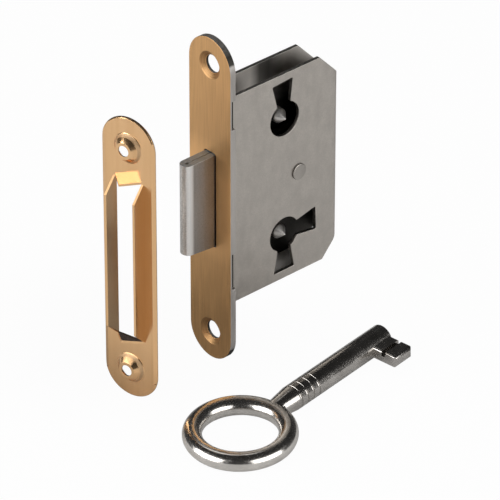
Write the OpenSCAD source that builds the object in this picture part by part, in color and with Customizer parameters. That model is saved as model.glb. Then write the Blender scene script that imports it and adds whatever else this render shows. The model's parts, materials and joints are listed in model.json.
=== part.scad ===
// Cut cupboard lock with its strike plate and its key, standing as a set.
// Millimetres, Z up. The origin is the middle of the forend's back face; X runs into the door,
// the forend looks along -X and the keyholes look along -Y.

/* [Forend] */
// overall length of the forend
forend_length = 89; // [86:0.5:96]
// width of the forend, also the diameter of its round ends
forend_width = 14.6; // [14:0.1:17]
// thickness of the forend
forend_thickness = 1.7; // [1.5:0.1:2.2]
// through diameter of the two screw holes
screw_hole_d = 4.6; // [3.8:0.1:4.8]
// diameter of the screw-head countersinks at the face
screw_head_d = 7.1; // [6.4:0.1:7.4]
// depth of the screw-head countersinks
countersink_depth = 1; // [0.8:0.1:1.3]
// depth of the rebates pressed into the rear long edges
rebate_depth = 0.9; // [0.5:0.1:1.4]
// thickness of face left in front of the rebates
rebate_skin = 0.5; // [0.4:0.1:0.8]
// length of the upper pair of rebates
rebate_upper_length = 7.8; // [5:0.2:9]
// middle height of the upper pair of rebates
rebate_upper_z = 26.2; // [24:0.2:27]
// length of the lower pair of rebates
rebate_lower_length = 9.9; // [6:0.2:11]
// middle height of the lower pair of rebates
rebate_lower_z = -17.2; // [-20:0.2:-15]

/* [Case] */
// height of the folded case
case_height = 57.4; // [56:0.2:60]
// height of the case's middle above the forend's middle
case_z = 0.3; // [-0.5:0.1:0.5]
// outside thickness of the case
case_thickness = 8.6; // [8.4:0.1:10]
// depth of the case behind the forend
case_depth = 35.8; // [35.4:0.2:40]
// thickness of the case sheet
sheet = 1; // [0.8:0.1:1]
// outside radius of the rear fold
fold_r = 1.5; // [1.3:0.1:2.5]
// length along X of the upper rear corner cut
top_cut_x = 6.3; // [4:0.1:7]
// height of the upper rear corner cut
top_cut_z = 6.6; // [4:0.1:7]
// length along X of the lower rear corner cut
bottom_cut_x = 4.9; // [3:0.1:5]
// height of the lower rear corner cut
bottom_cut_z = 5.6; // [4:0.1:7]
// front end of the floor lip along X
floor_lip_start = 8; // [6:0.5:12]
// length of the floor lip that closes the case's underside
floor_lip_length = 22; // [14:0.5:22]
// length of the tabs that let the case into the forend
tab_length = 8; // [5:0.5:10]
// depth of those tabs in the forend
tab_depth = 0.9; // [0.6:0.1:1]
// height of the tabs above and below the case's middle
tab_z = 21; // [18.5:0.5:22]

/* [Keyholes] */
// distance from the forend's face to the keyhole axes
backset = 20; // [19.6:0.1:20.6]
// distance between the two keyhole axes
keyhole_pitch = 32.4; // [32:0.2:33]
// diameter of the round part of each keyhole
keyhole_d = 9.2; // [8.4:0.1:9.6]
// reach of each keyhole slot from the keyhole axis
slot_reach = 10.3; // [10.1:0.1:10.5]
// width of each slot where it leaves the round part
slot_neck = 4.4; // [3.6:0.1:4.8]
// width of each slot at its far end
slot_mouth = 6.5; // [5:0.1:6.6]
// rounding of the corners at the far end of each slot
slot_corner = 0.3; // [0.2:0.1:0.8]
// angle the upright slot leans towards the forend
upright_lean = 4; // [0:0.5:6]
// angle the level slot leans upwards
level_lean = 2.5; // [0:0.5:4]
// diameter of the two drill pins
pin_d = 3.8; // [3.2:0.1:3.9]
// length of the pins' conical points
pin_point = 2.1; // [1.5:0.1:2.6]
// distance the pin points stand out of the case
pin_proud = 0.3; // [0:0.1:0.6]

/* [Bolt] */
// thickness of the folded bolt
bolt_thickness = 3.5; // [3.4:0.1:3.9]
// height of the bolt
bolt_height = 25.5; // [22:0.5:26]
// height of the bolt's middle above the forend's middle
bolt_z = 0.5; // [0:0.1:0.6]
// distance the thrown bolt stands out of the forend
bolt_projection = 9; // [8:0.1:9]
// height the bolt's lower edge rises towards its nose
nose_rise = 0.8; // [0.2:0.1:1]
// gap between the bolt's faces and the aperture
aperture_play = 0.35; // [0.15:0.05:0.4]
// gap between the two leaves of the bolt
bolt_seam = 0.2; // [0.15:0.05:0.3]
// radius of the open eye inside the bolt's fold
bolt_eye_r = 0.45; // [0.3:0.05:0.6]
// height of the stop shoulders above and below the bolt
shoulder = 1.3; // [0.8:0.1:1.6]
// half height of the bolt's tail
tail_half = 10; // [9:0.2:10]
// clearance under the key's bit in the notches of the tail
talon_play = 0.4; // [0.3:0.1:0.6]
// width of the key notches in the tail's edges
talon_width = 5; // [4:0.1:6]
// diameter of the stump on the tail
stump_d = 2.2; // [1.8:0.1:2.4]
// distance from the stump to the middle of the guide slot's round end
stump_inset = 5.75; // [5.4:0.05:6.1]

/* [Tumbler] */
// thickness of the tumbler plate
tumbler_thickness = 1; // [0.8:0.1:1]
// clearance between the stump and the block when the tumbler is swung
swing_play = 0.34; // [0.3:0.02:0.4]
// diameter of the tumbler's pivot and of the guide rivet
pivot_d = 3; // [2.6:0.1:3]
// distance of the pivot from the rear of the case
pivot_inset = 5.4; // [5:0.1:5.6]
// distance from the guide rivet to the pivot
rivet_pitch = 7.5; // [7.3:0.1:7.7]
// diameter of the guide rivet's heads
rivet_head_d = 4.2; // [3.8:0.1:5]
// height of the block that stops the stump
block_height = 2; // [1.6:0.1:2.2]
// diameter of the lug that works the spring
lug_d = 2.6; // [2.2:0.1:2.6]
// diameter of the spring wire
wire_d = 0.7; // [0.6:0.05:0.7]

/* [Strike] */
// overall length of the strike plate
strike_length = 77.4; // [74:0.2:86]
// width of the strike plate
strike_width = 15.2; // [14.6:0.1:17]
// thickness of the strike sheet
strike_sheet = 0.6; // [0.6:0.1:0.9]
// clear length of the bolt opening
opening_length = 44; // [38:0.5:45]
// clear width of the bolt opening
opening_width = 7.5; // [7:0.1:8]
// distance the lips stand out of the back
lip_height = 3.7; // [2.5:0.1:3.7]
// distance of each screw dimple from the plate's middle
dimple_z = 30.6; // [30:0.1:31]
// diameter of each dimple at the back of the plate
dimple_d = 8; // [7.4:0.1:8.4]
// height of each dimple behind the plate
dimple_height = 1.8; // [1.2:0.1:2]
// diameter of the screw hole in each dimple
dimple_hole_d = 2.9; // [2.4:0.1:3]
// width of the bevel along the long edges
bevel_width = 1; // [0.5:0.1:1.3]
// depth of the bevel along the long edges
bevel_depth = 0.4; // [0.1:0.05:0.5]
// length the bevel runs on past the start of the round ends
bevel_run = 1.9; // [0.5:0.1:2.5]
// width of the bevel round the plate's ends
rim_width = 0.3; // [0.2:0.1:0.8]
// depth of the bevel round the plate's ends
rim_depth = 0.3; // [0.1:0.05:0.4]
// angle the lip at the lower end of the opening leans upwards
foot_lip_lean = 15; // [0:1:20]
// position of the strike plate along X
strike_x = -27.16; // [-34:0.5:-26]
// angle the strike plate is turned about the vertical
strike_turn = 13.4; // [0:0.5:15]

/* [Key] */
// distance from the middle of the ring to the tip
key_reach = 52.2; // [49:0.1:57]
// outside diameter of the ring
ring_d = 27.7; // [24:0.1:30]
// thickness of the ring's round bar
ring_bar = 4.8; // [4.6:0.1:6]
// diameter of the barrel
barrel_d = 6.4; // [6.2:0.1:7]
// distance from the middle of the ring to the start of the barrel
barrel_start = 18.3; // [16.5:0.1:18.5]
// diameter of the bore in the barrel
bore_d = 4.1; // [4:0.05:4.3]
// depth of the bore in the barrel
bore_depth = 18; // [10:0.5:20]
// distance from the ring's middle to the first decorative groove
groove_start = 18.9; // [18.9:0.1:20]
// distance between the decorative grooves
groove_pitch = 2.16; // [1.6:0.02:2.3]
// radius of the decorative grooves
groove_r = 0.3; // [0.2:0.05:0.4]
// length of the bit along the barrel
bit_length = 6.5; // [5:0.1:6.5]
// distance from the tip back to the bit
bit_setback = 0.2; // [0.1:0.1:2]
// reach of the bit from the barrel's axis
bit_reach = 10; // [9:0.1:10]
// rounding of the bit's corner by the tip
bit_tip_r = 1.4; // [0.5:0.1:1.5]
// rounding of the bit's corner by the ring
bit_back_r = 1; // [0.3:0.1:1.2]
// thickness of the bit
bit_thickness = 3.2; // [2.8:0.1:3.4]
// rounding of the bit's upper and lower edges along its sides
bit_edge_r = 0.5; // [0.2:0.1:0.8]
// rounding of the bit's upper and lower edges at its far end
bit_nose_r = 1.2; // [0.3:0.1:1.3]
// distance of the bit's groove from the barrel's axis
bit_groove_y = 6; // [5.6:0.1:6.4]
// width of the bit's groove
bit_groove_width = 1.1; // [0.8:0.1:1.3]
// depth of the bit's groove
bit_groove_depth = 1.3; // [0.8:0.1:1.4]
// position of the ring's middle along X
key_x = -21; // [-24:0.1:-18]
// position of the ring's middle along Y
key_y = -32.3; // [-40:0.1:-32]
// direction of the key on the ground, turned from X
key_turn = 7; // [0:0.2:12]

/* [Hidden] */
$fn = 96;
eps = 0.01;
// overlap that fuses two solids of one piece
fuse = 0.1;
ground = -forend_length / 2;
screw_z = (forend_length - forend_width) / 2;
face_x = -forend_thickness;
// case
case_half = case_thickness / 2;
inner_half = case_half - sheet;
case_bottom = case_z - case_height / 2;
case_top = case_z + case_height / 2;
wall_mid = case_half - sheet / 2;
tab_play = 0.05;
lip_gap = 0.4;
key_x_in = backset - forend_thickness;
upper_key_z = case_z + keyhole_pitch / 2;
lower_key_z = case_z - keyhole_pitch / 2;
slot_root = keyhole_d / 4;
arc_steps = 6;
slot_flare = (slot_mouth - slot_neck) / 2 / (slot_reach - keyhole_d / 2);
slot_flare_angle = atan(slot_flare);
shank_d = 2.4;
shank_play = 0.03;
pin_tip_r = 0.12;
pivot_x = case_depth - pivot_inset;
rivet_x = pivot_x - rivet_pitch;
// bolt
bolt_r = bolt_thickness / 2;
leaf_in = bolt_seam / 2;
nose_x = face_x - bolt_projection;
bolt_bottom = bolt_z - bolt_height / 2;
bolt_top = bolt_z + bolt_height / 2;
shoulder_start = 0.15;
shoulder_end = 4;
bolt_play_y = 0.15;
bolt_play_z = 0.35;
aperture_width = bolt_thickness + 2 * aperture_play;
aperture_height = bolt_height + 2 * bolt_play_z;
aperture_r = 0.7;
tail_play = 0.4;
tail_end = case_depth - sheet - bolt_projection - tail_play;
guide_play = 0.15;
guide_half = pivot_d / 2 + guide_play;
guide_start = rivet_x - bolt_projection - guide_play;
stump_x = guide_start - stump_inset;
talon_x = key_x_in - bolt_projection / 2;
talon_top = upper_key_z - bit_reach - talon_play;
talon_bottom = lower_key_z + bit_reach + talon_play;
relief_half = 6.5;
stump_shank_d = 1.6;
// tumbler
tumbler_face = -bolt_r - bolt_play_y;
tumbler_back = tumbler_face - tumbler_thickness;
layer_gap = 0.5;
block_play = 0.3;
block_start = stump_x + stump_d / 2 + block_play;
block_end = stump_x + bolt_projection - stump_d / 2 - block_play;
// swing that carries the block clear of the stump's path
tumbler_swing = asin((block_height / 2 + stump_d / 2 + swing_play) / (pivot_x - block_end));
block_rivet_d = 1.4;
block_rivet_in = 1.5;
lug_arm = 3;
lug_x = pivot_x - lug_arm;
lug_shank_d = 1;
eye_wall = 1.9;
eye_r = pivot_d / 2 + eye_wall;
window_play = 0.3;
window_r = pivot_d / 2 + rivet_pitch * sin(tumbler_swing) + window_play;
// the bellies overlap the key's path by the lift that swings the tumbler clear of the stump
tumbler_lift = (pivot_x - key_x_in) * sin(tumbler_swing);
belly_top = upper_key_z - bit_reach + tumbler_lift;
belly_bottom = lower_key_z + bit_reach - tumbler_lift;
belly_flat = 1.5;
belly_slope = 2;
shoulder_in = 4;
shoulder_drop = 3;
tip_drop = 4.2;
tip_x = stump_x + stump_d / 4;
pivot_end_gap = 0.1;
rivet_head_t = 0.45;
// spring, whose upper leg is held away from the guide rivet by the lug
spring_play = 0.05;
spring_tail = 2.3;
spring_y = tumbler_face + layer_gap + wire_d / 2;
spring_r = pivot_d / 2 + wire_d / 2 + spring_play;
spring_end = rivet_x - spring_tail;
leg_length = pivot_x - spring_end;
leg_lift = tumbler_swing - asin((spring_r - lug_d / 2 - wire_d / 2 - spring_play) / lug_arm);
bend_angle = 180 - leg_lift;
bend_steps = 14;
wire_sides = 12;
// strike
strike_r = strike_width / 2;
strike_end_z = strike_length / 2 - strike_r;
strike_z = ground + strike_length / 2;
open_half = opening_width / 2;
lip_out = open_half + strike_sheet;
opening_half_z = opening_length / 2;
dimple_hole_r = dimple_hole_d / 2;
dimple_wall = 1.1;
dimple_base_r = dimple_d / 2;
dimple_top_r = dimple_base_r - dimple_height;
dish_r = dimple_base_r - dimple_wall + strike_sheet;
dish_depth = dish_r - dimple_hole_r;
// key
barrel_r = barrel_d / 2;
bar_r = ring_bar / 2;
ring_r = ring_d / 2 - bar_r;
neck_r = bar_r - fuse;
key_tilt = asin((barrel_r - bar_r) / (ring_r + barrel_start));
key_z = ground + bar_r + ring_r * sin(key_tilt);
bit_end = key_reach - bit_setback;
bit_start = bit_end - bit_length;
groove_count = 4;
groove_cut_start = bit_start - eps;
brass = [0.72, 0.52, 0.28];
steel = [0.6, 0.6, 0.59];
dark_steel = [0.46, 0.46, 0.46];
nickel = [0.55, 0.54, 0.53];

// solid of a Y-Z outline between two positions along X
module along_x(from, to) {
    translate([from, 0, 0])
        rotate([90, 0, 90])
            linear_extrude(height = to - from)
                children();
}

// solid of an X-Z outline between two positions along Y
module along_y(from, to) {
    translate([0, to, 0])
        rotate([90, 0, 0])
            linear_extrude(height = to - from)
                children();
}

// round bar or cone along Y
module rod_y(x, z, from, to, r_from, r_to) {
    translate([x, to, z])
        rotate([90, 0, 0])
            cylinder(h = to - from, r1 = r_to, r2 = r_from);
}

// round bar or cone along X
module rod_x(y, z, from, to, r_from, r_to) {
    translate([from, y, z])
        rotate([0, 90, 0])
            cylinder(h = to - from, r1 = r_from, r2 = r_to);
}

// outline with round ends
module stadium(width, length) {
    straight = length - width;
    translate([-width / 2, -straight / 2])
        square([width, straight]);
    translate([0, straight / 2])
        circle(d = width);
    translate([0, -straight / 2])
        circle(d = width);
}

// rectangle with rounded corners about its middle
module soft_rectangle(width, height, r) {
    square([width, height - 2 * r], center = true);
    square([width - 2 * r, height], center = true);
    for (y = [-1, 1])
        for (z = [-1, 1])
            translate([y * (width / 2 - r), z * (height / 2 - r)])
                circle(r = r);
}

// pocket for a pair of rebates in the long edges
module rebates(z, length) {
    for (side = [-1, 1])
        translate([face_x + rebate_skin, side * forend_width / 2 - rebate_depth, z - length / 2])
            cube([forend_thickness, 2 * rebate_depth, length]);
}

module forend() {
    color(brass)
        difference() {
            along_x(face_x, 0)
                stadium(forend_width, forend_length);
            for (z = [-screw_z, screw_z]) {
                rod_x(0, z, face_x - eps, eps, screw_hole_d / 2, screw_hole_d / 2);
                rod_x(0, z, face_x, face_x + countersink_depth, screw_head_d / 2, screw_hole_d / 2);
            }
            along_x(face_x - eps, eps)
                translate([0, bolt_z])
                    soft_rectangle(aperture_width, aperture_height, aperture_r);
            rebates(rebate_upper_z, rebate_upper_length);
            rebates(rebate_lower_z, rebate_lower_length);
            for (side = [-1, 1])
                for (z = [-tab_z, tab_z])
                    translate([-tab_depth - tab_play, side * wall_mid, case_z + z])
                        translate([0, -sheet / 2 - tab_play, -tab_length / 2 - tab_play])
                            cube([forend_thickness, sheet + 2 * tab_play, tab_length + 2 * tab_play]);
        }
}

// plan of a bar whose two rear corners are rounded
module folded_plan(from, to, half, r) {
    translate([from, -half])
        square([to - r - from, 2 * half]);
    translate([from, r - half])
        square([to - from, 2 * half - 2 * r]);
    for (side = [-1, 1])
        translate([to - r, side * (half - r)])
            circle(r = r);
}

// side outline of the case with its rear corners cut
module case_side() {
    polygon([
        [0, case_bottom],
        [case_depth - bottom_cut_x, case_bottom],
        [case_depth, case_bottom + bottom_cut_z],
        [case_depth, case_top - top_cut_z],
        [case_depth - top_cut_x, case_top],
        [0, case_top]
    ]);
}

// points of an arc about a centre
function arc(x, y, r, from, to) =
    [for (i = [0 : arc_steps]) [
        x + r * cos(from + (to - from) * i / arc_steps),
        y + r * sin(from + (to - from) * i / arc_steps)
    ]];

// tapered key slot with rounded far corners that leaves a keyhole along the given angle
module key_slot(angle) {
    corner_x = slot_reach - slot_corner;
    corner_y = slot_mouth / 2 - slot_corner * (slot_flare + 1 / cos(slot_flare_angle));
    corner_turn = 90 + slot_flare_angle;
    rotate(angle)
        polygon(concat(
            [[slot_root, -slot_neck / 2], [keyhole_d / 2, -slot_neck / 2]],
            arc(corner_x, -corner_y, slot_corner, -corner_turn, 0),
            arc(corner_x, corner_y, slot_corner, 0, corner_turn),
            [[keyhole_d / 2, slot_neck / 2], [slot_root, slot_neck / 2]]
        ));
}

// hole with running play for a shank of the given diameter along Y
module shank_hole_y(x, z, from, to, d) {
    r = d / 2 + shank_play;
    rod_y(x, z, from - eps, to + eps, r, r);
}

module case_shell() {
    color(steel)
        difference() {
            union() {
                intersection() {
                    translate([0, 0, case_bottom])
                        linear_extrude(height = case_height)
                            difference() {
                                folded_plan(0, case_depth, case_half, fold_r);
                                folded_plan(-sheet, case_depth - sheet, inner_half, fold_r - sheet);
                            }
                    along_y(-case_thickness, case_thickness)
                        case_side();
                }
                for (side = [-1, 1])
                    for (z = [-tab_z, tab_z])
                        translate([-tab_depth, side * wall_mid - sheet / 2, case_z + z - tab_length / 2])
                            cube([tab_depth + fuse, sheet, tab_length]);
                translate([floor_lip_start, lip_gap - inner_half, case_bottom])
                    cube([floor_lip_length, 2 * inner_half - lip_gap + fuse, sheet]);
            }
            for (z = [upper_key_z, lower_key_z]) {
                rod_y(key_x_in, z, -case_half - eps, -inner_half + eps, keyhole_d / 2, keyhole_d / 2);
                shank_hole_y(key_x_in, z, inner_half, case_half, shank_d);
            }
            along_y(-case_half - eps, -inner_half + eps) {
                translate([key_x_in, upper_key_z])
                    key_slot(90 + upright_lean);
                translate([key_x_in, lower_key_z])
                    key_slot(level_lean);
                translate([key_x_in, lower_key_z])
                    key_slot(-90);
            }
            shank_hole_y(rivet_x, 0, -case_half, case_half, pivot_d);
            shank_hole_y(pivot_x, 0, inner_half, case_half, shank_d);
        }
}

// drill pin that guides the hollow key
module drill_pin(z) {
    color(steel) {
        rod_y(key_x_in, z, pin_point - case_half - pin_proud, inner_half, pin_d / 2, pin_d / 2);
        rod_y(key_x_in, z, -case_half - pin_proud, pin_point - case_half - pin_proud, pin_tip_r, pin_d / 2);
        rod_y(key_x_in, z, inner_half - fuse, case_half, shank_d / 2, shank_d / 2);
    }
}

module upper_drill_pin() {
    drill_pin(upper_key_z);
}

module lower_drill_pin() {
    drill_pin(lower_key_z);
}

module guide_rivet() {
    color(dark_steel) {
        rod_y(rivet_x, 0, -case_half - rivet_head_t, case_half + rivet_head_t, pivot_d / 2, pivot_d / 2);
        for (side = [-1, 1])
            translate([0, side * (case_half + rivet_head_t / 2), 0])
                rod_y(rivet_x, 0, -rivet_head_t / 2, rivet_head_t / 2, rivet_head_d / 2, rivet_head_d / 2);
    }
}

module tumbler_pivot() {
    color(steel) {
        rod_y(pivot_x, 0, -inner_half + pivot_end_gap, inner_half, pivot_d / 2, pivot_d / 2);
        rod_y(pivot_x, 0, inner_half - fuse, case_half, shank_d / 2, shank_d / 2);
    }
}

// centre line of the spring about the pivot, from the lower leg's end round the bend to the upper leg's end:
// each entry holds X, Z and the heading
spring_line = concat(
    [[-leg_length, -spring_r, 0]],
    [for (i = [0 : bend_steps]) let(turn = i * bend_angle / bend_steps)
        [spring_r * sin(turn), -spring_r * cos(turn), turn]],
    [[
        spring_r * sin(bend_angle) + leg_length * cos(bend_angle),
        -spring_r * cos(bend_angle) + leg_length * sin(bend_angle),
        bend_angle
    ]]
);

// round wire swept along a line of X, Z and heading
module wire(line, r, sides) {
    last = (len(line) - 1) * sides;
    points = [for (p = line) for (j = [0 : sides - 1]) let(t = 360 * j / sides) [
        p[0] - r * cos(t) * sin(p[2]),
        r * sin(t),
        p[1] + r * cos(t) * cos(p[2])
    ]];
    walls = [for (i = [0 : sides : last - sides]) for (j = [0 : sides - 1]) let(k = (j + 1) % sides)
        each [[i + j, i + k, i + sides + k], [i + j, i + sides + k, i + sides + j]]];
    ends = [for (j = [1 : sides - 2]) each [[0, j + 1, j], [last, last + j, last + j + 1]]];
    polyhedron(points, concat(walls, ends));
}

module tumbler_spring() {
    color(dark_steel)
        translate([pivot_x, spring_y, 0])
            wire(spring_line, wire_d / 2, wire_sides);
}

// plan of the hairpin fold, open along its seam
module bolt_plan() {
    difference() {
        union() {
            translate([nose_x + bolt_r, 0])
                circle(r = bolt_r);
            translate([nose_x + bolt_r, -bolt_r])
                square([shoulder_end - nose_x - bolt_r, 2 * bolt_r]);
        }
        translate([nose_x + bolt_r, 0])
            circle(r = bolt_eye_r);
        translate([nose_x + bolt_r, -leaf_in])
            square([shoulder_end - nose_x - bolt_r + eps, bolt_seam]);
    }
}

module bolt() {
    color(steel)
        difference() {
            union() {
                translate([0, 0, bolt_bottom])
                    linear_extrude(height = bolt_height)
                        bolt_plan();
                for (side = [-1, 1])
                    translate([shoulder_start, side > 0 ? leaf_in : -bolt_r, bolt_bottom - shoulder])
                        cube([shoulder_end - shoulder_start, bolt_r - leaf_in, bolt_height + 2 * shoulder]);
                translate([shoulder_end - fuse, leaf_in, -tail_half])
                    cube([tail_end - shoulder_end + fuse, bolt_r - leaf_in, 2 * tail_half]);
            }
            along_y(-2 * bolt_r, 2 * bolt_r)
                polygon([
                    [nose_x - eps, bolt_bottom - eps],
                    [face_x, bolt_bottom - eps],
                    [face_x, bolt_bottom],
                    [nose_x - eps, bolt_bottom + nose_rise]
                ]);
            translate([shoulder_start, -2 * bolt_r, -relief_half])
                cube([shoulder_end, 2 * bolt_r, 2 * relief_half]);
            rod_y(guide_start, 0, 0, 2 * bolt_r, guide_half, guide_half);
            translate([guide_start, 0, -guide_half])
                cube([tail_end, 2 * bolt_r, 2 * guide_half]);
            translate([talon_x - talon_width / 2, 0, talon_top])
                cube([talon_width, 2 * bolt_r, tail_half]);
            translate([talon_x - talon_width / 2, 0, talon_bottom - tail_half])
                cube([talon_width, 2 * bolt_r, tail_half]);
            shank_hole_y(stump_x, 0, leaf_in, bolt_r, stump_shank_d);
        }
}

module bolt_stump() {
    color(dark_steel) {
        rod_y(stump_x, 0, tumbler_face + layer_gap, leaf_in, stump_d / 2, stump_d / 2);
        rod_y(stump_x, 0, leaf_in - fuse, bolt_r, stump_shank_d / 2, stump_shank_d / 2);
    }
}

// turns what is drawn in the locking place to the swung place
module swung() {
    translate([pivot_x, 0, 0])
        rotate([0, tumbler_swing, 0])
            translate([-pivot_x, 0, 0])
                children();
}

// side outline of the tumbler in its locking place
module tumbler_side() {
    difference() {
        union() {
            translate([pivot_x, 0])
                circle(r = eye_r);
            polygon([
                [pivot_x, eye_r],
                [rivet_x, belly_top - belly_slope],
                [key_x_in + belly_flat, belly_top],
                [key_x_in - belly_flat, belly_top],
                [key_x_in - shoulder_in, belly_top - shoulder_drop],
                [tip_x, belly_top - tip_drop],
                [tip_x, belly_bottom + tip_drop],
                [key_x_in - shoulder_in, belly_bottom + shoulder_drop],
                [key_x_in - belly_flat, belly_bottom],
                [key_x_in + belly_flat, belly_bottom],
                [rivet_x, belly_bottom + belly_slope],
                [pivot_x, -eye_r]
            ]);
        }
        translate([pivot_x, 0])
            circle(r = pivot_d / 2 + shank_play);
        translate([rivet_x, 0])
            circle(r = window_r);
        translate([lug_x, 0])
            circle(r = lug_shank_d / 2 + shank_play);
        for (x = [block_start + block_rivet_in, block_end - block_rivet_in])
            translate([x, 0])
                circle(r = block_rivet_d / 2 + shank_play);
    }
}

module tumbler() {
    color(steel)
        swung()
            along_y(tumbler_back, tumbler_face)
                tumbler_side();
}

module tumbler_block() {
    color(dark_steel)
        swung() {
            translate([block_start, tumbler_face, -block_height / 2])
                cube([block_end - block_start, leaf_in - layer_gap - tumbler_face, block_height]);
            for (x = [block_start + block_rivet_in, block_end - block_rivet_in])
                rod_y(x, 0, tumbler_back, tumbler_face + fuse, block_rivet_d / 2, block_rivet_d / 2);
        }
}

module tumbler_lug() {
    color(dark_steel)
        swung() {
            rod_y(lug_x, 0, tumbler_face, leaf_in - layer_gap, lug_d / 2, lug_d / 2);
            rod_y(lug_x, 0, tumbler_back, tumbler_face + fuse, lug_shank_d / 2, lug_shank_d / 2);
        }
}

// long lip of the strike opening with its sloping ends
module side_lip(side) {
    along_y(side > 0 ? open_half : -lip_out, side > 0 ? lip_out : -open_half)
        polygon([
            [strike_sheet, -opening_half_z],
            [0, -opening_half_z],
            [-lip_height, lip_height - opening_half_z],
            [-lip_height, opening_half_z - lip_height],
            [0, opening_half_z],
            [strike_sheet, opening_half_z]
        ]);
}

// pointed lip at one end of the strike opening, leaning by an angle about its root
module end_lip(side, lean) {
    translate([0, 0, side > 0 ? opening_half_z : -opening_half_z - strike_sheet])
        rotate([0, lean, 0])
            linear_extrude(height = strike_sheet)
                polygon([
                    [strike_sheet, -open_half],
                    [0, -open_half],
                    [-lip_height, -fuse],
                    [-lip_height, fuse],
                    [0, open_half],
                    [strike_sheet, open_half]
                ]);
}

// bevel along one long edge of the strike plate
module edge_bevel(side) {
    translate([0, 0, -strike_end_z - bevel_run])
        linear_extrude(height = 2 * (strike_end_z + bevel_run))
            polygon([
                [-eps, side * (strike_r - bevel_width)],
                [bevel_depth, side * (strike_r + eps)],
                [-eps, side * (strike_r + eps)]
            ]);
}

// bevel round one end of the strike plate
module end_bevel(side) {
    translate([0, 0, side * strike_end_z])
        rotate([side > 0 ? 0 : 180, 0, 0])
            rotate([0, 90, 0])
                rotate([0, 0, 90])
                    rotate_extrude(angle = 180)
                        polygon([
                            [strike_r - rim_width, -eps],
                            [strike_r + eps, -eps],
                            [strike_r + eps, rim_depth]
                        ]);
}

// raised cone of a screw dimple
module dimple(z) {
    rod_x(0, z, -dimple_height, fuse, dimple_top_r, dimple_base_r + fuse);
}

module strike_blank() {
    difference() {
        along_x(0, strike_sheet)
            stadium(strike_width, strike_length);
        translate([-strike_sheet, -open_half, -opening_half_z])
            cube([3 * strike_sheet, opening_width, opening_length]);
        for (side = [-1, 1]) {
            edge_bevel(side);
            end_bevel(side);
        }
    }
}

module strike_plate() {
    color(brass)
        translate([strike_x, 0, strike_z])
            rotate([0, 0, strike_turn])
                difference() {
                    union() {
                        strike_blank();
                        for (side = [-1, 1]) {
                            side_lip(side);
                            end_lip(side, side > 0 ? 0 : foot_lip_lean);
                            dimple(side * dimple_z);
                        }
                    }
                    for (z = [-dimple_z, dimple_z]) {
                        rod_x(0, z, -dimple_height - eps, strike_sheet + eps, dimple_hole_r, dimple_hole_r);
                        rod_x(0, z, strike_sheet - dish_depth, strike_sheet, dimple_hole_r, dish_r);
                    }
                }
}

// outline of the bit seen from above, outer corners rounded
module bit_plan() {
    polygon(concat(
        [[bit_start, -barrel_r / 2]],
        arc(bit_start + bit_back_r, bit_back_r - bit_reach, bit_back_r, 180, 270),
        arc(bit_end - bit_tip_r, bit_tip_r - bit_reach, bit_tip_r, 270, 360),
        [[bit_end, -barrel_r / 2]]
    ));
}

// bit with its upper and lower edges rounded
module bit() {
    intersection() {
        translate([0, 0, -bit_thickness / 2])
            linear_extrude(height = bit_thickness)
                bit_plan();
        along_x(bit_start, bit_end)
            soft_rectangle(2 * bit_reach, bit_thickness, bit_nose_r);
        along_y(-bit_reach, 0)
            translate([bit_end - bit_length / 2, 0])
                soft_rectangle(bit_length, bit_thickness, bit_edge_r);
    }
}

module key() {
    color(nickel)
        translate([key_x, key_y, key_z])
            rotate([0, 0, key_turn])
                rotate([0, -key_tilt, 0])
                    difference() {
                        union() {
                            rotate_extrude()
                                translate([ring_r, 0])
                                    circle(r = bar_r);
                            rod_x(0, 0, ring_r, barrel_start, neck_r, barrel_r);
                            rod_x(0, 0, barrel_start, key_reach, barrel_r, barrel_r);
                            bit();
                        }
                        rod_x(0, 0, key_reach - bore_depth, key_reach + eps, bore_d / 2, bore_d / 2);
                        for (i = [0 : groove_count - 1])
                            translate([groove_start + i * groove_pitch, 0, 0])
                                rotate([0, 90, 0])
                                    rotate_extrude()
                                        translate([barrel_r, 0])
                                            circle(r = groove_r, $fn = 24);
                        translate([groove_cut_start, -bit_groove_y, bit_thickness / 2 - bit_groove_depth])
                            translate([0, -bit_groove_width / 2, 0])
                                cube([bit_length + 2 * eps, bit_groove_width, bit_thickness]);
                    }
}

forend();
case_shell();
upper_drill_pin();
lower_drill_pin();
guide_rivet();
tumbler_pivot();
tumbler_spring();
bolt();
bolt_stump();
tumbler();
tumbler_block();
tumbler_lug();
strike_plate();
key();
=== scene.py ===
"""Looks of a cut cupboard lock, its strike plate and its key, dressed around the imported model."""

import json
import math

import bpy
from mathutils import Matrix, Vector


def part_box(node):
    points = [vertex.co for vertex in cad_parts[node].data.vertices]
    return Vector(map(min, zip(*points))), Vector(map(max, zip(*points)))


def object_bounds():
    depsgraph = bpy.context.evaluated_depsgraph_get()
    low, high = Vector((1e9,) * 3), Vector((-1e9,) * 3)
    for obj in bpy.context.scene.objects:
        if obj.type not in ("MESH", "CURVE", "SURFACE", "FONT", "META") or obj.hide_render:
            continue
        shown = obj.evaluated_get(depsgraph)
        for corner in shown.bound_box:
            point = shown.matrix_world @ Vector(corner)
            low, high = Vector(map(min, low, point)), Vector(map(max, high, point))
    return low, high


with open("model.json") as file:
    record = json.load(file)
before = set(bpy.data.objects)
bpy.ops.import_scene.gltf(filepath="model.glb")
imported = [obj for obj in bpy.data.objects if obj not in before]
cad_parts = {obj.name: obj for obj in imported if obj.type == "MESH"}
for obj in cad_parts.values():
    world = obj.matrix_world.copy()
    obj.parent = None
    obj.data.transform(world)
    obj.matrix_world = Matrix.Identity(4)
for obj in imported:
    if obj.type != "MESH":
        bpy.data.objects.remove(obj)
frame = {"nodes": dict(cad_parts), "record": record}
cad_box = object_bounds()
nodes = frame["nodes"]
mounts = {mount["name"]: mount for mount in frame["record"]["mounts"]}

# Units, and the height of the ground in metres
MM = 0.001
GROUND = cad_box[0][2]

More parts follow.
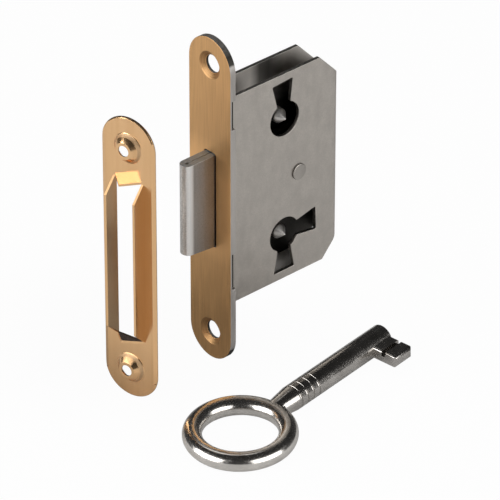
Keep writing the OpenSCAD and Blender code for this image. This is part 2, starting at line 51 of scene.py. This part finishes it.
# View of the photograph, taken as 500 by 500 pixels
CAMERA_AZIMUTH = -41.97
CAMERA_ELEVATION = 32.43
CAMERA_ROLL = 0.05
CAMERA_POSITION = (-0.67037, -0.75762, 0.62798)
CAMERA_LENS = 360
CAMERA_SENSOR = 36

# Colours, linear
BRASS_DARK = (0.500, 0.290, 0.126)
BRASS_LIGHT = (0.640, 0.380, 0.172)
# Lighter brass, painted light on the forend round the bolt
BRASS_PAINTED_LIGHT = (0.850, 0.500, 0.225)
BRASS_TURNED_DARK = (0.260, 0.150, 0.066)
BRASS_TURNED_LIGHT = (0.560, 0.330, 0.150)
BRIGHT_DARK = (0.860, 0.525, 0.262)
BRIGHT_LIGHT = (0.940, 0.600, 0.318)
# Darker brass, painted shade on the strike's bent lips and ends and in the creases round its dimples
LIP_BRASS = (0.560, 0.375, 0.215)
END_LIP_BRASS = (0.560, 0.400, 0.300)
EDGE_STEEL = (0.45, 0.425, 0.40)
EDGE_STEEL_DARK = (0.33, 0.312, 0.292)
ZINC_DARK = (0.440, 0.409, 0.374)
ZINC_LIGHT = (0.515, 0.480, 0.438)
# Pale zinc, painted light on the inner plate and the floor lip inside the case
ZINC_PAINTED_LIGHT = (0.80, 0.765, 0.715)
CUT_DARK = (0.20, 0.187, 0.173)
# Painted shade, near black, for the forend's rebates, the inside of the case and the bolt's tail
PAINTED_SHADE = (0.045, 0.042, 0.037)
BOLT_DARK = (0.38, 0.365, 0.346)
BOLT_LIGHT = (0.74, 0.718, 0.684)
BOLT_STAIN = (0.25, 0.237, 0.223)
# Near white steel, painted highlight on the turn of the bolt's nose
BOLT_HIGHLIGHT = (0.95, 0.93, 0.90)
BOLT_CUT_DARK = (0.40, 0.44, 0.47)
BOLT_CUT_LIGHT = (0.56, 0.61, 0.65)
TURNED_DARK = (0.55, 0.525, 0.50)
TURNED_LIGHT = (0.74, 0.715, 0.68)
# Darker turned steel, painted shade on the pieces inside the case
SHADED_TURNED_DARK = (0.17, 0.162, 0.152)
SHADED_TURNED_LIGHT = (0.32, 0.306, 0.288)
SPRING_DARK = (0.16, 0.16, 0.17)
SPRING_LIGHT = (0.30, 0.30, 0.31)
NICKEL_DARK = (0.58, 0.555, 0.52)
NICKEL_LIGHT = (0.70, 0.67, 0.635)
# Darker nickel, painted shade on the key's barrel
NICKEL_SHADED_DARK = (0.40, 0.380, 0.355)
NICKEL_SHADED_LIGHT = (0.52, 0.497, 0.468)

# Share of a second colour where it is strongest, or its least and most
# Share of the painted light round the bolt on the forend
FOREND_PAINTED_LIGHT = 0.9
# Share of the painted highlight on the bolt's nose
NOSE_HIGHLIGHT = 0.6
# Share of the painted shade in the middle of the inner plate
MIDDLE_SHADE_SHARE = 0.8
RIVET_SHARE = 0.3
# Share of the painted light on the case's inner plate
HOLLOW_PAINTED_LIGHT = 0.35
STAIN_SHARE = (0.7, 1)

# Grain of the finishes, per metre along X, Y and Z
BRASS_BRUSH = (3400, 3400, 110)
EDGE_SHEAR = (900, 2400, 60)
BRIGHT_ROLL = (1300, 1300, 18)
BRIGHT_FINE = (4200, 4200, 1400)
BRIGHT_CLOUD = (220, 220, 120)
ZINC_GRAIN = (3600, 3600, 3600)
ZINC_CLOUD = (500, 500, 260)
CUT_SHEAR = (900, 2600, 900)
BOLT_LINE = (2600, 2600, 90)
BOLT_GRAIN = (3800, 3800, 3800)
WIRE_LINE = (200, 6000, 6000)
NICKEL_GRAIN = (3400, 3400, 3400)
NICKEL_SPECK = (4600, 4600, 4600)
NICKEL_CLOUD = (300, 300, 300)

# Turned lines, per metre away from the axis
SINK_LINES = 3200
PIN_LINES = 7000

# Levels of detail in a noise
COARSE = 2
MEDIUM = 3
FINE = 4

# Stretches of a grain's value over which a finish changes
GRAIN_SPAN = (0.3, 0.7)
BRUSH_SPAN = (0.25, 0.75)
EDGE_SPAN = (0.2, 0.55)
ROLL_SPAN = (0.2, 0.8)
PRODUCT_SPAN = (0.12, 0.40)
CUT_SPAN = (0.35, 0.75)
BOLT_CUT_SPAN = (0.25, 0.7)
PIT_SPAN = (0.57, 0.72)

# Roughness of the finishes, from the smoothest spots to the roughest
BRASS_ROUGH = (0.38, 0.50)
SINK_ROUGH = (0.42, 0.58)
EDGE_ROUGH = (0.50, 0.62)
BRIGHT_ROUGH = (0.17, 0.26)
DULL_ROUGH = (0.45, 0.60)
ZINC_ROUGH = (0.38, 0.46)
HOLLOW_ROUGH = (0.42, 0.55)
BOLT_ROUGH = (0.34, 0.46)
BOLT_CUT_ROUGH = (0.6, 0.75)
TURNED_ROUGH = (0.30, 0.42)
SPRING_ROUGH = (0.3, 0.45)
NICKEL_ROUGH = (0.17, 0.23)
PIT_ROUGH = (0.25, 0.45)

# Relief of the finishes, as depth and strength
BRASS_RELIEF = (0.03 * MM, 0.4)
BRIGHT_RELIEF = (0.01 * MM, 0.15)
ZINC_RELIEF = (0.012 * MM, 0.3)
BOLT_RELIEF = (0.02 * MM, 0.3)
TURNED_RELIEF = (0.010 * MM, 0.2)
NICKEL_RELIEF = (0.012 * MM, 0.35)

# Directions that a surface may look in
FRONT = (-1, 0, 0)
REAR = (1, 0, 0)
ACROSS = (0, 1, 0)
UP = (0, 0, 1)
NOSE_TURN = (-0.26, -0.966, 0)
STRIKE_AXIS = Vector(mounts["strike_screws"]["axis"])
STRIKE_SIDE = STRIKE_AXIS.cross(Vector(UP))
STRIKE_SLOPE = (Vector(UP) - STRIKE_AXIS).normalized()

# Cosines between which a surface comes to count as looking in a direction
FRONT_COSINES = (0.25, 0.55)
EDGE_COSINES = (0.5, 0.8)
REAR_COSINES = (0.6, 0.9)
LIP_COSINES = (0.8, 0.95)
TURN_COSINES = (0.80, 0.88)
SLOPE_COSINES = (0.9, 0.97)
FLAT_COSINES = (0.9, 1)

# Places on the forend: its countersunk holes, its rebates painted in shade, and the stretch round the bolt
# painted lighter
SCREW_Z = mounts["forend_screws"]["dims"]["spacing_y_mm"] / 2 * MM
SINK_R = (3.5 * MM, 3.7 * MM)
REBATE_DEPTH = 0.4 * MM
REBATE_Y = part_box("forend")[1].y - REBATE_DEPTH
REBATE_FADE = 0.1 * MM
PAINTED_LIGHT_HALF = 12 * MM
PAINTED_LIGHT_FADE = 5 * MM

# Places on the case: its hollow, floor lip, open mouth, a middle stretch of the inner plate painted in
# shade, and rivet head
CASE_LOW, CASE_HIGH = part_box("case_shell")
SHEET = 1 * MM
HOLLOW_FADE = 0.05 * MM
HOLLOW_Y = -CASE_LOW.y - SHEET + HOLLOW_FADE
FLOOR_LIP_Z = (CASE_LOW.z + SHEET + 0.2 * MM, CASE_LOW.z + SHEET + 0.4 * MM)
MOUTH_Z = (CASE_HIGH.z - 13 * MM, CASE_HIGH.z - 6 * MM)
MIDDLE_SHADE_START_X = (14 * MM, 17 * MM)
MIDDLE_SHADE_END_X = (20 * MM, 25 * MM)
RIVET_HEAD_Y = (CASE_LOW.y - 0.2 * MM, CASE_LOW.y - 0.1 * MM)

# Places on the strike plate: its dimples' creases and the top of its lips
STRIKE_CENTRE = mounts["strike_screws"]["pos_m"]
DIMPLE_Z = mounts["strike_screws"]["dims"]["pcd_mm"] / 2 * MM
DIMPLE_R = 4 * MM
CREASE_START = (DIMPLE_R - 0.8 * MM, DIMPLE_R - 0.5 * MM)
CREASE_END = (DIMPLE_R, DIMPLE_R + 0.2 * MM)
LIP_TOP_Z = (18 * MM, 19 * MM)

# Places on the bolt and the key: the bolt's nose and its tail painted in shade, and the start of the key's
# barrel
BOLT_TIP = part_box("bolt")[0].x
NOSE_X = (BOLT_TIP + 1.8 * MM, BOLT_TIP + 2.5 * MM)
TAIL_X = (1 * MM, 3 * MM)
BARREL_X = (-10 * MM, -4 * MM)

# Edge rounding of the pieces
FOREND_ROUND = 0.16 * MM
CASE_ROUND = 0.1 * MM
TUMBLER_ROUND = 0.08 * MM
RIVET_ROUND = 0.18 * MM
BOLT_ROUND = 0.16 * MM
STRIKE_ROUND = 0.14 * MM
KEY_ROUND = 0.2 * MM
SPRING_ROUND = 0.02 * MM
TURNED_ROUND = 0.06 * MM
ROUND_SEGMENTS = 2
ROUND_ANGLE = math.radians(28)
WELD_DISTANCE = 0.001 * MM
FLATTEN_ANGLE = math.radians(0.3)
NORMAL_WEIGHT = 90

# Floor and surroundings
FLOOR_HALF = 3.0
FLOOR_GAP = 0.02 * MM
FLOOR_NEAR = (0.08, 0.08, 0.08)
FLOOR_FAR = (0.64, 0.64, 0.64)
SHADE_CENTRE = (-12 * MM, 22 * MM, 0)
SHADE_R = (12 * MM, 46 * MM)
FLOOR_GLOW = 0.97
MIRROR_GLOW = 0.1
SKY_HORIZON = (0.07, 0.07, 0.07)
SKY_ZENITH = (0.03, 0.03, 0.03)
SKY_SPAN = (0, 0.5)
WHITE = (1, 1, 1, 1)

# Softboxes: direction from the lock in degrees round from +X and up, distance, width, height, level
LEFT_SOFTBOX = (165, 16, 0.8, 0.80, 0.54, 5.5)
RIGHT_SOFTBOX = (279, 15, 0.8, 0.82, 0.50, 3.7)
BACK_SOFTBOX = (60, 58, 0.7, 0.24, 0.24, 1.2)
OVERHEAD_FILL = (90, 88, 0.6, 0.6, 0.6, 1.6)

# Sockets that share a name: those of a mix node set to colour, and of a shader mix
COLOUR_A = 6
COLOUR_B = 7
COLOUR_RESULT = 2
SHADER_A = 1
SHADER_B = 2

# Whole stretch of a mask
WHOLE = (0, 1)

# Scale that keeps every axis as it is
EVERY_AXIS = (1, 1, 1)


def metal(name):
    """New metallic material; returns it with its node tree and shader."""
    material = bpy.data.materials.new(name)
    material.use_nodes = True
    shader = material.node_tree.nodes["Principled BSDF"]
    shader.inputs["Metallic"].default_value = 1
    return material, material.node_tree, shader


def places(tree, scale, centre=(0, 0, 0)):
    """Object coordinates about a centre, stretched by a scale along each axis."""
    source = tree.nodes.new("ShaderNodeTexCoord")
    mapping = tree.nodes.new("ShaderNodeMapping")
    mapping.inputs["Scale"].default_value = scale
    mapping.inputs["Location"].default_value = [-c * s for c, s in zip(centre, scale)]
    tree.links.new(source.outputs["Object"], mapping.inputs["Vector"])
    return mapping.outputs["Vector"]


def noise(tree, scale, detail=MEDIUM):
    """Noise value whose grain per metre along each axis is the scale."""
    texture = tree.nodes.new("ShaderNodeTexNoise")
    texture.inputs["Scale"].default_value = 1
    texture.inputs["Detail"].default_value = detail
    tree.links.new(places(tree, scale), texture.inputs["Vector"])
    return texture.outputs["Fac"]


def rings(tree, distance, lines):
    """Turned lines: noise that depends on a distance from an axis only."""
    texture = tree.nodes.new("ShaderNodeTexNoise")
    texture.noise_dimensions = "1D"
    texture.inputs["Scale"].default_value = lines
    texture.inputs["Detail"].default_value = MEDIUM
    tree.links.new(distance, texture.inputs["W"])
    return texture.outputs["Fac"]


def vector_math(tree, operation, first, second=None):
    """Vector operation on one vector, or on a vector and a fixed vector."""
    step = tree.nodes.new("ShaderNodeVectorMath")
    step.operation = operation
    tree.links.new(first, step.inputs[0])
    if second is not None:
        step.inputs[1].default_value = second
    return step


def radius(tree, vector):
    """Length of a vector."""
    return vector_math(tree, "LENGTH", vector).outputs["Value"]


def from_pair(tree, scale, centre, height):
    """Distance from the nearer of two places, at a height above a centre and as far below it."""
    mirrored = vector_math(tree, "ABSOLUTE", places(tree, scale, centre)).outputs["Vector"]
    return radius(tree, vector_math(tree, "SUBTRACT", mirrored, (0, 0, height)).outputs["Vector"])


def spread(tree, value, low, high, start, end):
    """Value stretched from start..end to low..high, at which it stays."""
    remap = tree.nodes.new("ShaderNodeMapRange")
    remap.inputs["From Min"].default_value = start
    remap.inputs["From Max"].default_value = end
    remap.inputs["To Min"].default_value = low
    remap.inputs["To Max"].default_value = high
    tree.links.new(value, remap.inputs["Value"])
    return remap.outputs["Result"]


def rising(tree, value, start, end):
    """0 where a value is up to a start, 1 where it is past the end."""
    return spread(tree, value, 0, 1, start, end)


def falling(tree, value, start, end):
    """1 where a value is up to a start, 0 where it is past the end."""
    return spread(tree, value, 1, 0, start, end)


def opposite(tree, mask):
    """1 where a mask is 0, 0 where it is 1."""
    return falling(tree, mask, *WHOLE)


def share(tree, mask, most):
    """Mask that reaches only a share."""
    return spread(tree, mask, 0, most, *WHOLE)


def roughness(tree, grain, smooth, rough):
    """Roughness that follows a grain from smooth to rough."""
    return spread(tree, grain, smooth, rough, *GRAIN_SPAN)


def beyond(tree, axis, start, end):
    """0 up to a start along an axis, 1 past the end."""
    parts = tree.nodes.new("ShaderNodeSeparateXYZ")
    tree.links.new(places(tree, EVERY_AXIS), parts.inputs["Vector"])
    return rising(tree, parts.outputs[axis], start, end)


def within(tree, axis, half, fade):
    """1 where the place along an axis is nearer the middle than half, 0 beyond it."""
    parts = tree.nodes.new("ShaderNodeSeparateXYZ")
    distance = vector_math(tree, "ABSOLUTE", places(tree, EVERY_AXIS))
    tree.links.new(distance.outputs["Vector"], parts.inputs["Vector"])
    return falling(tree, parts.outputs[axis], half - fade, half + fade)


def facing(tree, direction, start, end):
    """1 where the surface looks along a direction, 0 where it looks elsewhere."""
    source = tree.nodes.new("ShaderNodeTexCoord")
    dot = vector_math(tree, "DOT_PRODUCT", source.outputs["Normal"], direction)
    return rising(tree, dot.outputs["Value"], start, end)


def sideways(tree, direction, start, end):
    """1 where the surface looks along a direction or against it."""
    ahead = facing(tree, direction, start, end)
    behind = facing(tree, [-d for d in direction], start, end)
    return either(tree, ahead, behind)


def joined(tree, operation, first, second):
    """Two values joined by a math operation."""
    math_node = tree.nodes.new("ShaderNodeMath")
    math_node.operation = operation
    tree.links.new(first, math_node.inputs[0])
    tree.links.new(second, math_node.inputs[1])
    return math_node.outputs["Value"]


def both(tree, first, second):
    """Product of two values, for masks 1 where both are 1."""
    return joined(tree, "MULTIPLY", first, second)


def either(tree, first, second):
    """Larger of two values, for masks 1 where either is 1."""
    return joined(tree, "MAXIMUM", first, second)


def blended(tree, factor, first, second):
    """Value that goes from first to second with a factor."""
    mix = tree.nodes.new("ShaderNodeMix")
    tree.links.new(factor, mix.inputs["Factor"])
    tree.links.new(first, mix.inputs["A"])
    tree.links.new(second, mix.inputs["B"])
    return mix.outputs["Result"]


def shade(tree, value, dark, light, span=GRAIN_SPAN):
    """Colour that runs from dark to light as a value goes through a span."""
    ramp = tree.nodes.new("ShaderNodeValToRGB")
    for element, position, colour in zip(ramp.color_ramp.elements, span, (dark, light)):
        element.position = position
        element.color = (*colour, 1)
    tree.links.new(value, ramp.inputs["Fac"])
    return ramp.outputs["Color"]


def mixed(tree, factor, first, second):
    """Colour that goes with a factor from first, an output, to second, an output or a fixed colour."""
    mix = tree.nodes.new("ShaderNodeMix")
    mix.data_type = "RGBA"
    tree.links.new(factor, mix.inputs["Factor"])
    tree.links.new(first, mix.inputs[COLOUR_A])
    if isinstance(second, tuple):
        mix.inputs[COLOUR_B].default_value = (*second, 1)
    else:
        tree.links.new(second, mix.inputs[COLOUR_B])
    return mix.outputs[COLOUR_RESULT]


def coat(tree, shader, colour, rough):
    """Sends a colour and a roughness to a shader."""
    tree.links.new(colour, shader.inputs["Base Color"])
    tree.links.new(rough, shader.inputs["Roughness"])


def bumped(tree, shader, height, depth, strength):
    """Fine relief on a shader from a height value."""
    bump = tree.nodes.new("ShaderNodeBump")
    bump.inputs["Distance"].default_value = depth
    bump.inputs["Strength"].default_value = strength
    tree.links.new(height, bump.inputs["Height"])
    tree.links.new(bump.outputs["Normal"], shader.inputs["Normal"])


def satin_brass():
    """Brass face brushed lengthwise, over a steel strip that shows along the edges, with painted light
    round the bolt and painted shade on the rebates' floors.
    """
    material, tree, shader = metal("satin_brass")
    brush = noise(tree, BRASS_BRUSH, FINE)
    brass = shade(tree, brush, BRASS_DARK, BRASS_LIGHT, BRUSH_SPAN)
    # Painted light: the brass is lighter round the bolt
    painted_light = share(tree, within(tree, "Z", PAINTED_LIGHT_HALF, PAINTED_LIGHT_FADE), FOREND_PAINTED_LIGHT)
    brass = mixed(tree, painted_light, brass, BRASS_PAINTED_LIGHT)
    shear = noise(tree, EDGE_SHEAR)
    steel = shade(tree, shear, EDGE_STEEL_DARK, EDGE_STEEL, EDGE_SPAN)
    # Painted shade on the floors of the rebates
    inset = within(tree, "Y", REBATE_Y, REBATE_FADE)
    pocket = both(tree, inset, sideways(tree, ACROSS, *EDGE_COSINES))
    edge = mixed(tree, pocket, steel, PAINTED_SHADE)
    from_hole = from_pair(tree, (0, 1, 1), (0, 0, 0), SCREW_Z)
    turned = falling(tree, from_hole, *SINK_R)
    lines = rings(tree, from_hole, SINK_LINES)
    brass = mixed(tree, turned, brass, shade(tree, lines, BRASS_TURNED_DARK, BRASS_TURNED_LIGHT))
    front = facing(tree, FRONT, *FRONT_COSINES)
    sink_rough = roughness(tree, lines, *SINK_ROUGH)
    rough = blended(tree, turned, roughness(tree, brush, *BRASS_ROUGH), sink_rough)
    rough = blended(tree, front, roughness(tree, shear, *EDGE_ROUGH), rough)
    coat(tree, shader, mixed(tree, front, edge, brass), rough)
    bumped(tree, shader, blended(tree, turned, brush, lines), *BRASS_RELIEF)
    return material


def bright_brass():
    """Polished brass sheet with faint rolling streaks along its length; its bent lips and the rougher
    creases round its dimples are painted in shade.
    """
    material, tree, shader = metal("bright_brass")
    fine = noise(tree, BRIGHT_FINE)
    cloud = noise(tree, BRIGHT_CLOUD)
    base = shade(tree, noise(tree, BRIGHT_ROLL), BRIGHT_DARK, BRIGHT_LIGHT, ROLL_SPAN)
    # Painted shade: the bent lips and ends darker than the face
    lips = sideways(tree, STRIKE_SIDE, *LIP_COSINES)
    ends = sideways(tree, UP, *LIP_COSINES)
    bent = mixed(tree, ends, mixed(tree, lips, base, LIP_BRASS), END_LIP_BRASS)
    from_dimple = from_pair(tree, EVERY_AXIS, STRIKE_CENTRE, DIMPLE_Z)
    # Painted shade in the crease round each dimple's foot, which is also rougher
    crease = both(tree, rising(tree, from_dimple, *CREASE_START), falling(tree, from_dimple, *CREASE_END))
    sloped = facing(tree, STRIKE_SLOPE, *SLOPE_COSINES)
    sheared = both(tree, sloped, opposite(tree, beyond(tree, "Z", *LIP_TOP_Z)))
    dull = either(tree, sheared, crease)
    dull_rough = roughness(tree, fine, *DULL_ROUGH)
    rough = blended(tree, dull, roughness(tree, cloud, *BRIGHT_ROUGH), dull_rough)
    coat(tree, shader, mixed(tree, crease, bent, LIP_BRASS), rough)
    bumped(tree, shader, fine, *BRIGHT_RELIEF)
    return material


def case_steel():
    """Zinc plated sheet with a satin grain, darker where it was cut, with painted shade deep inside the
    case and painted light on the inner plate and the floor lip.
    """
    material, tree, shader = metal("case_steel")
    grain = noise(tree, ZINC_GRAIN)
    cloud = noise(tree, ZINC_CLOUD)
    plate = shade(tree, both(tree, grain, cloud), ZINC_DARK, ZINC_LIGHT, PRODUCT_SPAN)
    cut = shade(tree, noise(tree, CUT_SHEAR), CUT_DARK, ZINC_DARK, CUT_SPAN)
    hollow = within(tree, "Y", HOLLOW_Y, HOLLOW_FADE)
    # Painted shade deep inside the case, below its mouth and in a middle stretch of the inner plate
    below_mouth = opposite(tree, beyond(tree, "Z", *MOUTH_Z))
    shaded_middle_start = share(tree, beyond(tree, "X", *MIDDLE_SHADE_START_X), MIDDLE_SHADE_SHARE)
    shaded_middle = both(tree, shaded_middle_start, opposite(tree, beyond(tree, "X", *MIDDLE_SHADE_END_X)))
    above_floor = beyond(tree, "Z", *FLOOR_LIP_Z)
    deep = both(tree, both(tree, either(tree, below_mouth, shaded_middle), above_floor), hollow)
    flat = either(tree, sideways(tree, ACROSS, *EDGE_COSINES), facing(tree, REAR, *REAR_COSINES))
    rolled = either(tree, flat, hollow)
    head = share(tree, opposite(tree, beyond(tree, "Y", *RIVET_HEAD_Y)), RIVET_SHARE)
    sheet = mixed(tree, head, mixed(tree, rolled, cut, plate), CUT_DARK)
    # Painted light: the floor lip, made matt and pale, and the inner plate lighter
    lip = both(tree, facing(tree, UP, *LIP_COSINES), opposite(tree, above_floor))
    painted_light_inside = either(tree, lip, share(tree, hollow, HOLLOW_PAINTED_LIGHT))
    colour = mixed(tree, deep, mixed(tree, painted_light_inside, sheet, ZINC_PAINTED_LIGHT), PAINTED_SHADE)
    inner_rough = roughness(tree, grain, *HOLLOW_ROUGH)
    rough = blended(tree, hollow, roughness(tree, cloud, *ZINC_ROUGH), inner_rough)
    coat(tree, shader, colour, rough)
    tree.links.new(opposite(tree, lip), shader.inputs["Metallic"])
    bumped(tree, shader, grain, *ZINC_RELIEF)
    return material


def bolt_steel():
    """Drawn steel with fine lines along its height, grainy cut ends, a painted highlight on the turn of its
    nose and its tail inside the case painted in shade.
    """
    material, tree, shader = metal("bolt_steel")
    line = noise(tree, BOLT_LINE)
    grain = noise(tree, BOLT_GRAIN)
    drawn = shade(tree, both(tree, line, grain), BOLT_DARK, BOLT_LIGHT, PRODUCT_SPAN)
    cut = shade(tree, grain, BOLT_CUT_DARK, BOLT_CUT_LIGHT, BOLT_CUT_SPAN)
    ends = sideways(tree, UP, *EDGE_COSINES)
    # Painted shade on the tail inside the case
    tail = beyond(tree, "X", *TAIL_X)
    stain = spread(tree, grain, *STAIN_SHARE, *GRAIN_SPAN)
    stain = both(tree, sideways(tree, ACROSS, *FLAT_COSINES), stain)
    nose = opposite(tree, beyond(tree, "X", *NOSE_X))
    # Painted highlight on the turn of the nose
    painted_light = share(tree, both(tree, facing(tree, NOSE_TURN, *TURN_COSINES), nose), NOSE_HIGHLIGHT)
    side = mixed(tree, painted_light, mixed(tree, stain, drawn, BOLT_STAIN), BOLT_HIGHLIGHT)
    colour = mixed(tree, tail, mixed(tree, ends, side, cut), PAINTED_SHADE)
    cut_rough = roughness(tree, grain, *BOLT_CUT_ROUGH)
    rough = blended(tree, ends, roughness(tree, line, *BOLT_ROUGH), cut_rough)
    coat(tree, shader, colour, rough)
    bumped(tree, shader, line, *BOLT_RELIEF)
    return material


def turned_steel(node, dark, light):
    """Steel turned about the piece's own axis along Y."""
    low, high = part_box(node)
    material, tree, shader = metal("turned_steel_" + node)
    line = rings(tree, radius(tree, places(tree, (1, 0, 1), (low + high) / 2)), PIN_LINES)
    coat(tree, shader, shade(tree, line, dark, light), roughness(tree, line, *TURNED_ROUGH))
    bumped(tree, shader, line, *TURNED_RELIEF)
    return material


def spring_steel():
    """Dark drawn wire."""
    material, tree, shader = metal("spring_steel")
    line = noise(tree, WIRE_LINE, COARSE)
    coat(tree, shader, shade(tree, line, SPRING_DARK, SPRING_LIGHT), roughness(tree, line, *SPRING_ROUGH))
    return material


def nickel():
    """Nickel plate with a fine grain and small dull pits; the barrel is painted in shade darker than the
    ring.
    """
    material, tree, shader = metal("nickel")
    grain = noise(tree, NICKEL_GRAIN)
    cloud = noise(tree, NICKEL_CLOUD)
    ring = shade(tree, cloud, NICKEL_DARK, NICKEL_LIGHT)
    # Painted shade: the barrel takes a darker copy of the nickel
    barrel = shade(tree, cloud, NICKEL_SHADED_DARK, NICKEL_SHADED_LIGHT)
    pits = rising(tree, noise(tree, NICKEL_SPECK, COARSE), *PIT_SPAN)
    pit_rough = roughness(tree, grain, *PIT_ROUGH)
    rough = blended(tree, pits, roughness(tree, cloud, *NICKEL_ROUGH), pit_rough)
    coat(tree, shader, mixed(tree, beyond(tree, "X", *BARREL_X), ring, barrel), rough)
    bumped(tree, shader, grain, *NICKEL_RELIEF)
    return material


def dress(name, material, edge_round):
    """Gives a CAD node its material, and rounds its sharp edges a little."""
    piece = nodes[name]
    piece.data.materials.clear()
    piece.data.materials.append(material)
    weld = piece.modifiers.new("weld", "WELD")
    weld.merge_threshold = WELD_DISTANCE
    flatten = piece.modifiers.new("flatten", "DECIMATE")
    flatten.decimate_type = "DISSOLVE"
    flatten.angle_limit = FLATTEN_ANGLE
    bevel = piece.modifiers.new("bevel", "BEVEL")
    bevel.width = edge_round
    bevel.segments = ROUND_SEGMENTS
    bevel.limit_method = "ANGLE"
    bevel.angle_limit = ROUND_ANGLE
    normals = piece.modifiers.new("normals", "WEIGHTED_NORMAL")
    normals.keep_sharp = True
    normals.weight = NORMAL_WEIGHT


def dress_all():
    """Materials and edge rounding of every CAD node."""
    sheet = case_steel()
    dress("forend", satin_brass(), FOREND_ROUND)
    dress("case_shell", sheet, CASE_ROUND)
    dress("tumbler", sheet, TUMBLER_ROUND)
    dress("guide_rivet", sheet, RIVET_ROUND)
    dress("bolt", bolt_steel(), BOLT_ROUND)
    dress("strike_plate", bright_brass(), STRIKE_ROUND)
    dress("key", nickel(), KEY_ROUND)
    dress("tumbler_spring", spring_steel(), SPRING_ROUND)
    for name in ("upper_drill_pin", "lower_drill_pin"):
        dress(name, turned_steel(name, TURNED_DARK, TURNED_LIGHT), TURNED_ROUND)
    # Pieces inside the case take the turned steel painted in shade
    for name in ("tumbler_pivot", "bolt_stump", "tumbler_block", "tumbler_lug"):
        dress(name, turned_steel(name, SHADED_TURNED_DARK, SHADED_TURNED_LIGHT), TURNED_ROUND)


def shown_mix(tree, output, factor, first, second):
    """Sends a mix of two shaders to an output."""
    mix = tree.nodes.new("ShaderNodeMixShader")
    tree.links.new(factor, mix.inputs["Fac"])
    tree.links.new(first, mix.inputs[SHADER_A])
    tree.links.new(second, mix.inputs[SHADER_B])
    tree.links.new(mix.outputs["Shader"], output.inputs["Surface"])


def floor_white():
    """Pale matt floor, shaded near the lock, that glows for the camera and a little in reflections."""
    material = bpy.data.materials.new("floor_white")
    material.use_nodes = True
    tree = material.node_tree
    tree.nodes.clear()
    matt = tree.nodes.new("ShaderNodeBsdfDiffuse")
    glow = tree.nodes.new("ShaderNodeEmission")
    path = tree.nodes.new("ShaderNodeLightPath")
    output = tree.nodes.new("ShaderNodeOutputMaterial")
    from_shade = radius(tree, places(tree, (1, 1, 0), SHADE_CENTRE))
    pale = shade(tree, rising(tree, from_shade, *SHADE_R), FLOOR_NEAR, FLOOR_FAR, WHOLE)
    tree.links.new(pale, matt.inputs["Color"])
    mirrored = either(tree, path.outputs["Is Glossy Ray"], path.outputs["Is Transmission Ray"])
    direct = share(tree, path.outputs["Is Camera Ray"], FLOOR_GLOW)
    glowing = either(tree, direct, share(tree, mirrored, MIRROR_GLOW))
    shown_mix(tree, output, glowing, matt.outputs["BSDF"], glow.outputs["Emission"])
    return material


def lay_floor():
    """Wide flat floor just under the pieces."""
    height = GROUND - FLOOR_GAP
    corners = [(x * FLOOR_HALF, y * FLOOR_HALF, height) for x, y in ((-1, -1), (1, -1), (1, 1), (-1, 1))]
    mesh = bpy.data.meshes.new("floor")
    mesh.from_pydata(corners, [], [(0, 1, 2, 3)])
    mesh.materials.append(floor_white())
    floor = bpy.data.objects.new("floor", mesh)
    bpy.context.scene.collection.objects.link(floor)


def light_world():
    """Dim surroundings, darker overhead, and white where the camera looks past the floor."""
    world = bpy.data.worlds.new("studio")
    bpy.context.scene.world = world
    world.use_nodes = True
    tree = world.node_tree
    background = tree.nodes["Background"]
    source = tree.nodes.new("ShaderNodeTexCoord")
    white = tree.nodes.new("ShaderNodeBackground")
    path = tree.nodes.new("ShaderNodeLightPath")
    height = vector_math(tree, "DOT_PRODUCT", source.outputs["Generated"], UP).outputs["Value"]
    sky = shade(tree, height, SKY_HORIZON, SKY_ZENITH, SKY_SPAN)
    tree.links.new(sky, background.inputs["Color"])
    white.inputs["Color"].default_value = WHITE
    shown_mix(
        tree,
        tree.nodes["World Output"],
        path.outputs["Is Camera Ray"],
        background.outputs["Background"],
        white.outputs["Background"],
    )


def softbox(name, azimuth, elevation, distance, width, height, level):
    """Soft light in a direction, looking at the lock, as bright as a surface of that level."""
    lamp = bpy.data.lights.new(name, "AREA")
    lamp.shape = "RECTANGLE"
    lamp.size = width
    lamp.size_y = height
    lamp.energy = level * math.pi * width * height
    light = bpy.data.objects.new(name, lamp)
    flat = distance * math.cos(math.radians(elevation))
    light.location = (
        flat * math.cos(math.radians(azimuth)),
        flat * math.sin(math.radians(azimuth)),
        distance * math.sin(math.radians(elevation)),
    )
    light.rotation_euler = (-light.location).to_track_quat("-Z", "Y").to_euler()
    light.visible_camera = False
    bpy.context.scene.collection.objects.link(light)
    return light


def place_lights():
    """Softboxes round the lock, and a fill from above that doesn't show in reflections."""
    softbox("left_softbox", *LEFT_SOFTBOX)
    softbox("right_softbox", *RIGHT_SOFTBOX)
    softbox("back_softbox", *BACK_SOFTBOX)
    fill = softbox("overhead_fill", *OVERHEAD_FILL)
    fill.visible_glossy = False


def place_camera():
    """Camera where the photograph was taken from."""
    azimuth = math.radians(CAMERA_AZIMUTH)
    elevation = math.radians(CAMERA_ELEVATION)
    level = math.cos(elevation)
    back = Vector((math.sin(azimuth) * level, -math.cos(azimuth) * level, math.sin(elevation)))
    right = Vector((math.cos(azimuth), math.sin(azimuth), 0))
    turn = Matrix((right, back.cross(right), back)).transposed().to_4x4()
    roll = Matrix.Rotation(math.radians(CAMERA_ROLL), 4, "Z")
    lens = bpy.data.cameras.new("photo_camera")
    lens.lens = CAMERA_LENS
    lens.sensor_width = CAMERA_SENSOR
    camera = bpy.data.objects.new("photo_camera", lens)
    camera.matrix_world = Matrix.Translation(CAMERA_POSITION) @ turn @ roll
    bpy.context.scene.collection.objects.link(camera)
    bpy.context.scene.camera = camera


place_camera()
dress_all()
lay_floor()
light_world()
place_lights()
bpy.context.scene.view_settings.view_transform = "Standard"
